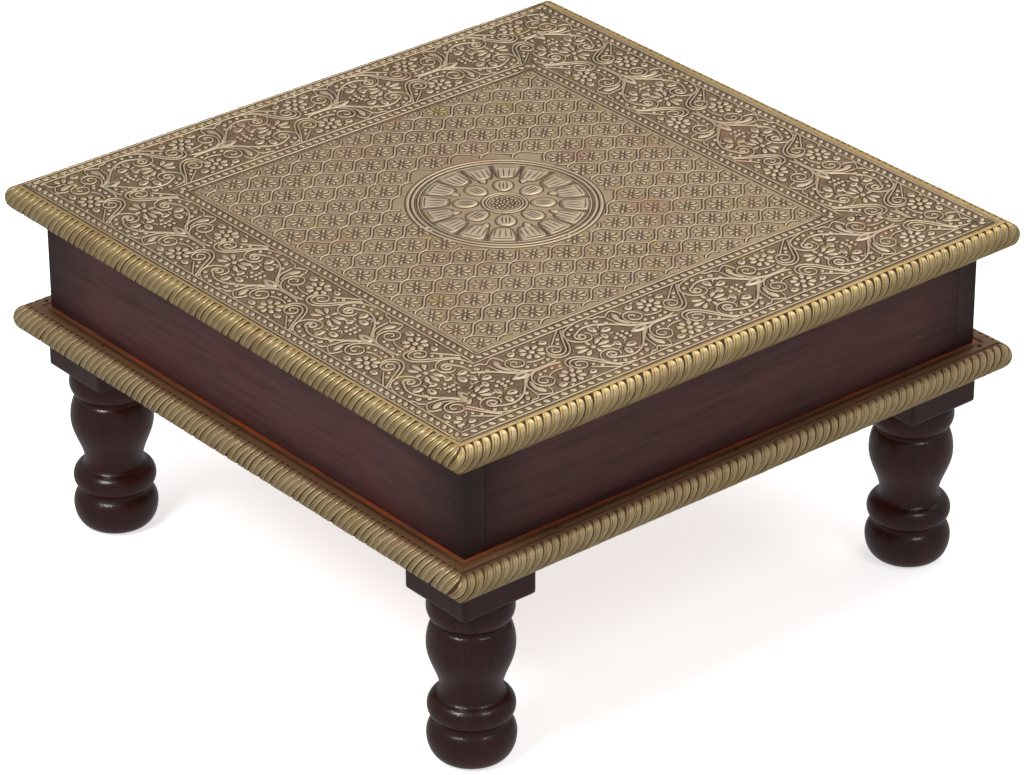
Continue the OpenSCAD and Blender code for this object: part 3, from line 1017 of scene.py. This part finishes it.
def edge_point(s, q, height, half, edge, top):
    """A point on a slab's rounded edge. s runs along the front, q out over the edge, both in mm."""
    bend = half - CORNER
    if q < 0:
        out, z = half - edge + q, top + height
    elif q < math.pi * edge:
        out = half - edge + (edge + height) * math.sin(q / edge)
        z = top - edge + (edge + height) * math.cos(q / edge)
    else:
        out, z = half - edge - (q - math.pi * edge), top - 2 * edge - height
    sign, s = (1, s) if s > 0 else (-1, -s)
    past = s - bend
    if past <= 0 or out <= bend:
        x, y = min(s, max(out, 0)) if out <= bend else s, out
    elif past < CORNER * math.pi / 2:
        turn, reach = past / CORNER, out - bend
        power = 5 + 1.5 * max(0, half - out)
        size = reach / (math.cos(turn) ** power + math.sin(turn) ** power) ** (1 / power)
        x, y = bend + size * math.sin(turn), bend + size * math.cos(turn)
    else:
        x, y = out, bend - (past - CORNER * math.pi / 2)
    return sign * x, -y, z


class BRASSTABLE_OT_strips(bpy.types.Operator):
    """Makes the brass strips round both slabs, with their ribs"""

    bl_idname = "brass_table.strips"
    bl_label = "Gadrooned strips"

    def skin(self, half, edge, top, start, inner, under):
        """The strip under the ribs: a closed band whose section runs round the slab's edge and back."""
        qs = [out - (half - edge) for out in (inner, (inner + start) / 2, start - 0.3)]
        qs += [start - (half - edge) + 0.4] + [math.pi * edge * i / 16 for i in range(1, 17)]
        qs.append(math.pi * edge + half - edge - under)
        tones = [0.5, 0.6, 0.56, 0.46, 0.16] + [0.0] * 15 + [0.3]
        reach = half - CORNER + EIGHTH_TURN
        along = [-reach + EIGHTH_TURN * i / 5 for i in range(5)]
        along += [(half - CORNER) * (2 * i / 12 - 1) for i in range(13)]
        along += [-s for s in along[4::-1]]
        rows = list(zip(qs, tones, [0.0] * len(qs)))
        rows += [(q, 0.3, -0.45) for q in reversed(qs)]
        verts, faces, tone = [], [], []
        for q, shade, lift in rows:
            for s in along:
                verts.append(edge_point(s, q, lift, half, edge, top))
                tone.append(shade)
        n = len(along)
        for i in range(len(rows)):
            for j in range(n - 1):
                a, b = i * n + j, (i + 1) % len(rows) * n + j
                faces.append((a, a + 1, b + 1, b))
        return new_mesh("skin", verts, faces, tone)

    def execute(self, context):
        sizes = context.scene.brass_table_edges
        slabs = (
            ("top", TOP_HALF, TOP_EDGE, SHEET_TOP, (185.0, 185.2), SHEET_HALF, 177.0, "strip"),
            ("base", BASE_HALF, BASE_EDGE, BASE_TOP, (183.7, 185.6), 178.5, 178.5, "lower_strip"),
        )
        for slab, half, edge, top, starts, inner, under, finish_name in slabs:
            skins = []
            for k, side in enumerate(SIDES):
                across = k % 2
                pitch = sizes.side_pitch if across else sizes.near_pitch
                lean, twist = (0.0, 0.047) if across else (0.26, 0.022)
                start = starts[across]
                length = half - edge - start + math.pi * edge + 1.6
                reach = half - CORNER + EIGHTH_TURN
                count = round(2 * reach / pitch)
                step = 2 * reach / count
                shape = rib(length, step * 0.96, sizes.rib_height, lean, twist)
                row = repeat("row", shape, Count=count, Pitch=step * MM,
                             Start=((-reach + 0.5 * step) * MM, (start - (half - edge)) * MM, 0),
                             Shift=0.4 * MM, Uneven_size=0.14, Seed=sizes.seed + 5 * k + len(slab))
                for v in row.vertices:
                    v.co = [c * MM for c in edge_point(*(c / MM for c in v.co), half, edge, top)]
                row.transform(Matrix.Rotation(math.pi / 2 * k, 4, "Z"))
                name = f"{slab}_ribs_{side}"
                piece(name, joined(name, [row]), finish(finish_name), "brass_strip")
                band = self.skin(half, edge, top, min(starts), inner, under)
                band.transform(Matrix.Rotation(math.pi / 2 * k, 4, "Z"))
                skins.append(band)
            mesh = joined(f"{slab}_strip_skin", skins)
            work = bmesh.new()
            work.from_mesh(mesh)
            bmesh.ops.remove_doubles(work, verts=work.verts, dist=1e-6)
            bmesh.ops.dissolve_degenerate(work, edges=work.edges, dist=1e-6)
            bmesh.ops.recalc_face_normals(work, faces=work.faces)
            work.to_mesh(mesh)
            work.free()
            piece(f"{slab}_strip_skin", mesh, finish(finish_name), "brass_strip",
                  *(f"{slab}_strip_{side}" for side in SIDES))
        return {"FINISHED"}


# Wood


def board(low, high, bevel):
    """A board with softened arrises, cut a little finer than the bevel needs."""
    work = bmesh.new()
    bmesh.ops.create_cube(work, size=1.0)
    for v in work.verts:
        v.co = Vector((low[i] if v.co[i] < 0 else high[i]) * MM for i in range(3))
    bmesh.ops.bevel(work, geom=work.edges[:], offset=bevel * MM, segments=3, profile=0.6, affect="EDGES")
    bmesh.ops.recalc_face_normals(work, faces=work.faces[:])
    mesh = bpy.data.meshes.new("board")
    work.to_mesh(mesh)
    work.free()
    for p in mesh.polygons:
        p.use_smooth = p.area < 0.9 * max(q.area for q in mesh.polygons) and p.area < 1e-4
    return mesh


class BRASSTABLE_OT_boards(bpy.types.Operator):
    """Makes the boards of the box and finishes both slabs"""

    bl_idname = "brass_table.boards"
    bl_label = "Box and slabs"

    def execute(self, context):
        for k, side in enumerate(SIDES):
            node = f"apron_{side}"
            mesh = board(corner_mm(node, 0), corner_mm(node, 1), 0.45)
            # nail heads in the box are stopped and stained over, so the front board stands for them too
            nodes = (node, "apron_nails") if side == "front" else (node,)
            piece(f"box_board_{side}", mesh, finish("box_y" if k % 2 else "box_x"), "stained_wood",
                  *nodes)
        paint("top_board", finish("under"))
        paint("base_board", finish("base"))
        return {"FINISHED"}


def leg_outline(top):
    """The turned outline of a leg as radius and height, from the floor up to the square head."""

    def arc(r, z, a, b, first, last, steps):
        turns = [math.radians(first + (last - first) * i / steps) for i in range(steps + 1)]
        return [(r + a * math.cos(t), z + b * math.sin(t)) for t in turns]

    return [
        (0, 0), (13.2, 0), *arc(15, 13, 8.2, 13, -84, 0, 14), *arc(15, 13, 8.2, 9.8, 8, 54, 8),
        (19.5, 21.8), (19.2, 22.2), (19.3, 22.7), *arc(16.7, 29.7, 6, 6.9, -62, 78, 18),
        (17.3, 37.1), (16.6, 38.2), (16.1, 39.4),
        *[(16 + 6.8 * (1 - math.cos(math.pi * t / 16)) / 2, 39.5 + 26.5 * t / 16) for t in range(1, 16)],
        *arc(16.8, 66, 6, 14.5, 0, 60, 12), (19.2, 79), (19.1, 79.5), (19.3, 80),
        *arc(14.6, 88, 8, 9, -60, 20, 14), (21.6, top), (0, top),
    ]


class BRASSTABLE_OT_legs(bpy.types.Operator):
    """Turns the four legs"""

    bl_idname = "brass_table.legs"
    bl_label = "Turned legs"

    def execute(self, context):
        axis = (LEG_LOW[0] + LEG_HIGH[0]) / 2
        head_low = 95.5
        outline = leg_outline(head_low + 0.6)
        sides = 96
        for k, name in enumerate(("front_right", "back_right", "back_left", "front_left")):
            work = bmesh.new()
            rings = []
            for r, z in outline:
                if r == 0:
                    rings.append([work.verts.new((0, 0, z))])
                    continue
                rings.append([work.verts.new((*polar(r, 360 * i / sides), z)) for i in range(sides)])
            for a, b in zip(rings, rings[1:]):
                for i in range(sides):
                    j = (i + 1) % sides
                    if len(a) == 1:
                        work.faces.new((a[0], b[j], b[i]))
                    elif len(b) == 1:
                        work.faces.new((a[i], a[j], b[0]))
                    else:
                        work.faces.new((a[i], a[j], b[j], b[i]))
            for f in work.faces:
                f.smooth = True
            for v in work.verts:
                v.co *= MM
            turned = bpy.data.meshes.new("turned")
            work.to_mesh(turned)
            work.free()
            half = (LEG_HIGH[0] - LEG_LOW[0]) / 2
            head = board((-half, -half, head_low), (half, half, LEG_HIGH[2]), 2.2)
            work = bmesh.new()
            work.from_mesh(turned)
            work.from_mesh(head)
            mesh = bpy.data.meshes.new(f"leg_{name}")
            work.to_mesh(mesh)
            work.free()
            for spare in (turned, head):
                bpy.data.meshes.remove(spare)
            turn = Matrix.Rotation(math.pi / 2 * k, 4, "Z")
            place = turn @ Matrix.Translation((axis * MM, -axis * MM, 0))
            mesh.transform(place)
            piece(f"turned_leg_{name}", mesh, finish("leg"), "lacquered_leg", f"leg_{name}")
        return {"FINISHED"}


class BRASSTABLE_OT_fasteners(bpy.types.Operator):
    """Finishes the pins, nails and screws"""

    bl_idname = "brass_table.fasteners"
    bl_label = "Fasteners"

    def execute(self, context):
        paint("top_strip_pins", finish("strip"))
        paint("base_strip_pins", finish("strip"))
        for node in ("top_nails", "box_screws", "leg_screws"):
            paint(node, finish("steel"))
        return {"FINISHED"}


class BRASSTABLE_OT_stage(bpy.types.Operator):
    """Sets up the floor, the lights and the camera"""

    bl_idname = "brass_table.stage"
    bl_label = "Stage"

    def execute(self, context):
        scene = context.scene
        floor_mesh = new_mesh("floor", [(-4000, -4000, 0), (4000, -4000, 0), (4000, 4000, 0),
                                        (-4000, 4000, 0)], [(0, 1, 2, 3)])
        material, tree, shader, place = new_material("painted_floor")
        # a little of its own light keeps the floor near white under a soft shadow
        fill(tree, shader, {
            "Base Color": add_node(tree, RAMP, (add_node(tree, NOISE, clouds(place, 400, 2)),),
                                   [(0.3, srgb("F4F4F4")), (0.7, srgb("FAFAFA"))]),
            "Roughness": 0.8, "Emission Color": (1, 1, 1), "Emission Strength": 0.68})
        floor_mesh.materials.append(material)
        floor = bpy.data.objects.new("floor", floor_mesh)
        scene.collection.objects.link(floor)
        floor.visible_glossy = False

        world = bpy.data.worlds.new("studio")
        world.use_nodes = True
        back = world.node_tree.nodes["Background"]
        # the room is white to look at but dim, so that the lacquer stays dark
        seen = add_node(world.node_tree, "ShaderNodeLightPath").outputs["Is Camera Ray"]
        fill(world.node_tree, back, {
            "Color": (1, 1, 1), "Strength": add_node(world.node_tree, MAP, {0: seen, 3: 0.3, 4: 1.0})})
        scene.world = world
        scene.view_settings.view_transform = "Standard"

        target = Vector((0, 0, 0.12))
        for name, azimuth, elevation, distance, size, power in (
            ("left softbox", 50.1 - 42, 48, 1.9, 0.5, 16),
            ("right softbox", 50.1 + 42, 48, 1.9, 0.5, 5),
            ("top softbox", 50.1 + 150, 62, 2.2, 1.2, 16),
        ):
            light = bpy.data.lights.new(name, "AREA")
            light.shape, light.size, light.energy = "SQUARE", size, power
            obj = bpy.data.objects.new(name, light)
            scene.collection.objects.link(obj)
            a, e = math.radians(azimuth), math.radians(elevation)
            way = Vector((math.sin(a) * math.cos(e), -math.cos(a) * math.cos(e), math.sin(e)))
            obj.location = target + way * distance
            obj.rotation_euler = way.to_track_quat("Z", "Y").to_euler()

        camera = bpy.data.objects.new("camera", bpy.data.cameras.new("camera"))
        scene.collection.objects.link(camera)
        azimuth, elevation, roll = (math.radians(d) for d in (50.07, 28.71, -0.158))
        back = Vector((math.sin(azimuth) * math.cos(elevation), -math.cos(azimuth) * math.cos(elevation),
                       math.sin(elevation)))
        right = Vector((0, 0, 1)).cross(back).normalized()
        up = back.cross(right)
        turned = (math.cos(roll) * right + math.sin(roll) * up, math.cos(roll) * up - math.sin(roll) * right)
        pose = Matrix((turned[0], turned[1], back)).transposed().to_4x4()
        pose.translation = (1.7177, -1.4355, 1.3184)
        camera.matrix_world = pose
        camera.data.sensor_width = 36
        camera.data.lens = 166.5
        scene.camera = camera
        return {"FINISHED"}


PIECES = (
    BRASSTABLE_OT_stage, BRASSTABLE_OT_boards, BRASSTABLE_OT_legs, BRASSTABLE_OT_sheet,
    BRASSTABLE_OT_ropes, BRASSTABLE_OT_border, BRASSTABLE_OT_lattice, BRASSTABLE_OT_medallion,
    BRASSTABLE_OT_strips, BRASSTABLE_OT_fasteners,
)
GROUPS = {
    "brass_table_relief": BrassTableReliefSizes,
    "brass_table_edges": BrassTableEdgeSizes,
    "brass_table_colours": BrassTableColours,
}


class BRASSTABLE_PT_panel(bpy.types.Panel):
    """Lists the pieces of the table and their sizes and colours"""

    bl_idname = "BRASSTABLE_PT_panel"
    bl_label = "Brass table"
    bl_space_type = "VIEW_3D"
    bl_region_type = "UI"
    bl_category = "Brass table"

    def draw(self, context):
        for cls in PIECES:
            self.layout.operator(cls.bl_idname)
        for name, group in GROUPS.items():
            box = self.layout.box()
            for key in group.__annotations__:
                box.prop(getattr(context.scene, name), key)


def register():
    """Makes the classes and their settings known."""
    for cls in (*GROUPS.values(), *PIECES, BRASSTABLE_PT_panel):
        bpy.utils.register_class(cls)
    for name, group in GROUPS.items():
        setattr(bpy.types.Scene, name, PointerProperty(type=group))


def unregister():
    """Takes the classes and their settings away again."""
    for name in GROUPS:
        delattr(bpy.types.Scene, name)
    for cls in reversed((*GROUPS.values(), *PIECES, BRASSTABLE_PT_panel)):
        bpy.utils.unregister_class(cls)


def main():
    """Builds every piece in order."""
    register()
    for cls in PIECES:
        group, name = cls.bl_idname.split(".")
        getattr(getattr(bpy.ops, group), name)()


if __name__ == "__main__":
    main()
